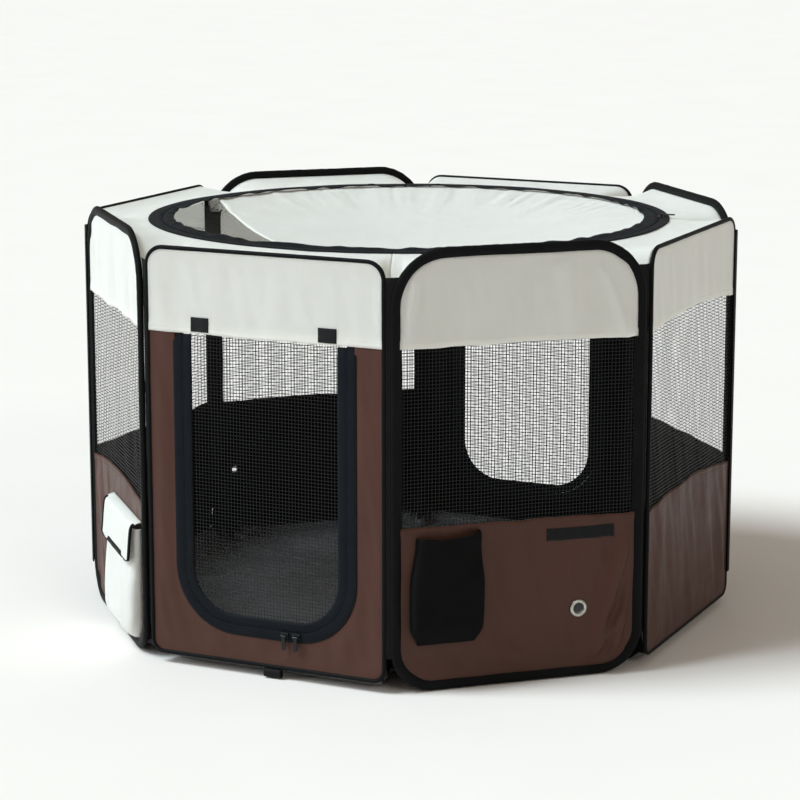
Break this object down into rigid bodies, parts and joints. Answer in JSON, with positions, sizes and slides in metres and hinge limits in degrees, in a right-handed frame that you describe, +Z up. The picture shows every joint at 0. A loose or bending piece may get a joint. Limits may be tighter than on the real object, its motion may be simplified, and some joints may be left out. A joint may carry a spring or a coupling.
{
  "type": "pet playpen",
  "caption": "Eight-sided soft folding pet playpen: wire-loop fabric walls with mesh windows, two zipped mesh doors, outside pockets and a zipped round top cover.",
  "frame": {"origin": "on the ground at the centre of the pen", "axes": "+Z up, the front door faces -Y, +X to the right of the front door"},
  "size_m": [0.9184, 0.925, 0.612],
  "materials": {
    "cream_cloth": "woven polyester, matte, slightly creased",
    "brown_cloth": "woven polyester, satin, black on the inside",
    "black_mesh": "open square mesh",
    "black_binding": "soft satin binding",
    "spring_wire": "drawn",
    "zip_tape": "dark navy zip tape and nylon coil",
    "zip_metal": "satin black enamel",
    "eyelet_metal": "dull nickel",
    "pocket_cloth": "black cloth, gathered",
    "hook_tape": "napped hook-and-loop tape",
    "webbing": "ribbed webbing",
    "floor_cloth": "dark grey coated cloth"
  },
  "bodies": {
    "base": {"floor": "floor_cloth", "top_ring": "cream_cloth"},
    "top_cover": {"top_cover_mesh": "black_mesh", "top_cover_shade": "cream_cloth"},
    "top_zip_slider": {"top_zip_slider": "zip_metal"},
    "front_right_panel": {"front_right_frame_wire": "spring_wire", "front_right_binding": "black_binding", "front_right_valance": "cream_cloth", "front_right_mesh": "black_mesh", "front_right_lower_panel": "brown_cloth", "front_right_pocket": "pocket_cloth", "front_right_hook_strip": "hook_tape", "front_right_eyelet": "eyelet_metal"},
    "right_panel": {"right_frame_wire": "spring_wire", "right_piping": "black_binding", "right_valance": "cream_cloth", "right_mesh": "black_mesh", "right_lower_panel": "brown_cloth"},
    "back_right_panel": {"back_right_frame_wire": "spring_wire", "back_right_binding": "black_binding", "back_right_valance": "cream_cloth", "back_right_mesh": "black_mesh", "back_right_lower_panel": "brown_cloth"},
    "back_panel": {"back_frame_wire": "spring_wire", "back_piping": "black_binding", "back_valance": "cream_cloth", "back_door_surround": "brown_cloth", "back_door_zip_track": "zip_tape"},
    "back_left_panel": {"back_left_frame_wire": "spring_wire", "back_left_binding": "black_binding", "back_left_valance": "cream_cloth", "back_left_mesh": "black_mesh", "back_left_lower_panel": "brown_cloth"},
    "left_panel": {"left_frame_wire": "spring_wire", "left_piping": "black_binding", "left_valance": "cream_cloth", "left_mesh": "black_mesh", "left_lower_panel": "brown_cloth"},
    "front_left_panel": {"front_left_frame_wire": "spring_wire", "front_left_binding": "black_binding", "front_left_valance": "cream_cloth", "front_left_mesh": "black_mesh", "front_left_lower_panel": "brown_cloth", "front_left_pouch": "cream_cloth"},
    "front_panel": {"front_frame_wire": "spring_wire", "front_piping": "black_binding", "front_valance": "cream_cloth", "front_door_surround": "brown_cloth", "front_door_zip_track": "zip_tape", "front_hook_patches": "hook_tape", "front_stake_loop": "webbing"},
    "front_left_pouch_flap": {"front_left_pouch_flap": "cream_cloth"},
    "front_door": {"front_door": "black_mesh"},
    "back_door": {"back_door": "black_mesh"},
    "front_zip_slider_left": {"front_zip_slider_left": "zip_metal"},
    "front_zip_pull_left": {"front_zip_pull_left": "zip_metal"},
    "front_zip_slider_right": {"front_zip_slider_right": "zip_metal"},
    "front_zip_pull_right": {"front_zip_pull_right": "zip_metal"},
    "back_zip_slider": {"back_zip_slider": "zip_metal"},
    "back_zip_pull": {"back_zip_pull": "zip_metal"}
  },
  "joints": [
    {"name": "fold_right", "type": "hinge", "parent": "front_right_panel", "child": "right_panel", "pos_m": [0.45266, -0.1875, 0], "axis": [0, 0, 1], "range_deg": [0, 128.25], "deforming": ["floor", "top_ring", "top_cover_mesh", "top_cover_shade", "top_zip_slider"]},
    {"name": "fold_front_right", "type": "hinge", "parent": "base", "child": "front_right_panel", "pos_m": [0.1875, -0.45266, 0], "axis": [0, 0, 1], "range_deg": [-21.39, 0]},
    {"name": "fold_front", "type": "hinge", "parent": "base", "child": "front_panel", "pos_m": [0.1875, -0.45266, 0], "axis": [0, 0, 1], "range_deg": [0, 21.39]},
    {"name": "fold_back_right", "type": "hinge", "parent": "right_panel", "child": "back_right_panel", "pos_m": [0.45266, 0.1875, 0], "axis": [0, 0, 1], "range_deg": [-213.77, 0]},
    {"name": "fold_back", "type": "hinge", "parent": "back_right_panel", "child": "back_panel", "pos_m": [0.1875, 0.45266, 0], "axis": [0, 0, 1], "range_deg": [0, 128.27]},
    {"name": "fold_front_left", "type": "hinge", "parent": "front_panel", "child": "front_left_panel", "pos_m": [-0.1875, -0.45266, 0], "axis": [0, 0, 1], "range_deg": [-128.27, 0]},
    {"name": "fold_left", "type": "hinge", "parent": "front_left_panel", "child": "left_panel", "pos_m": [-0.45266, -0.1875, 0], "axis": [0, 0, 1], "range_deg": [0, 213.77]},
    {"name": "fold_back_left", "type": "hinge", "parent": "left_panel", "child": "back_left_panel", "pos_m": [-0.45266, 0.1875, 0], "axis": [0, 0, 1], "range_deg": [-128.27, 0]},
    {"name": "front_door_hinge", "type": "hinge", "parent": "front_panel", "child": "front_door", "pos_m": [0.00003, -0.45761, 0.4764], "axis": [-1, -0.0093, 0], "range_deg": [0, 165]},
    {"name": "back_door_hinge", "type": "hinge", "parent": "back_panel", "child": "back_door", "pos_m": [-0.00003, 0.45761, 0.4764], "axis": [1, 0.0093, 0], "range_deg": [0, 165]},
    {"name": "front_zip_left_slide", "type": "slide", "parent": "front_panel", "child": "front_zip_slider_left", "axis": [-1, -0.0093, 0], "range_m": [0, 0.07]},
    {"name": "front_zip_right_travel", "type": "hinge", "parent": "front_panel", "child": "front_zip_slider_right", "pos_m": [0.04802, -0.45647, 0.148], "axis": [0.0093, -1, 0], "range_deg": [0, 90]},
    {"name": "back_zip_slide", "type": "slide", "parent": "back_panel", "child": "back_zip_slider", "axis": [1, 0.0093, 0], "range_m": [0, 0.07]},
    {"name": "front_zip_pull_left_swing", "type": "hinge", "parent": "front_zip_slider_left", "child": "front_zip_pull_left", "pos_m": [0.03006, -0.46064, 0.0637], "axis": [-1, -0.0093, 0], "range_deg": [0, 150]},
    {"name": "front_zip_pull_right_swing", "type": "hinge", "parent": "front_zip_slider_right", "child": "front_zip_pull_right", "pos_m": [0.04806, -0.46047, 0.0637], "axis": [-1, -0.0093, 0], "range_deg": [0, 150]},
    {"name": "back_zip_pull_swing", "type": "hinge", "parent": "back_zip_slider", "child": "back_zip_pull", "pos_m": [-0.03006, 0.46064, 0.0637], "axis": [1, 0.0093, 0], "range_deg": [0, 150]},
    {"name": "top_cover_hinge", "type": "hinge", "parent": "base", "child": "top_cover", "pos_m": [-0.26234, -0.26234, 0.589], "axis": [0.7071, -0.7071, 0], "range_deg": [0, 150]},
    {"name": "top_zip_travel", "type": "hinge", "parent": "base", "child": "top_zip_slider", "pos_m": [0, 0, 0.589], "axis": [0, 0, 1], "range_deg": [-135, 180]},
    {"name": "pouch_flap_hinge", "type": "hinge", "parent": "front_left_panel", "child": "front_left_pouch_flap", "pos_m": [-0.27129, -0.3758, 0.1952], "axis": [0.6888, -0.725, 0], "range_deg": [-120, 0]}
  ],
  "couplings": [
    {"joint": "fold_front_right", "follows": "fold_right", "ratio": -0.16667},
    {"joint": "fold_front", "follows": "fold_right", "ratio": 0.16667},
    {"joint": "fold_back_right", "follows": "fold_right", "ratio": -1.6667},
    {"joint": "fold_back", "follows": "fold_right", "ratio": 1},
    {"joint": "fold_front_left", "follows": "fold_right", "ratio": -1},
    {"joint": "fold_left", "follows": "fold_right", "ratio": 1.6667},
    {"joint": "fold_back_left", "follows": "fold_right", "ratio": -1}
  ]
}
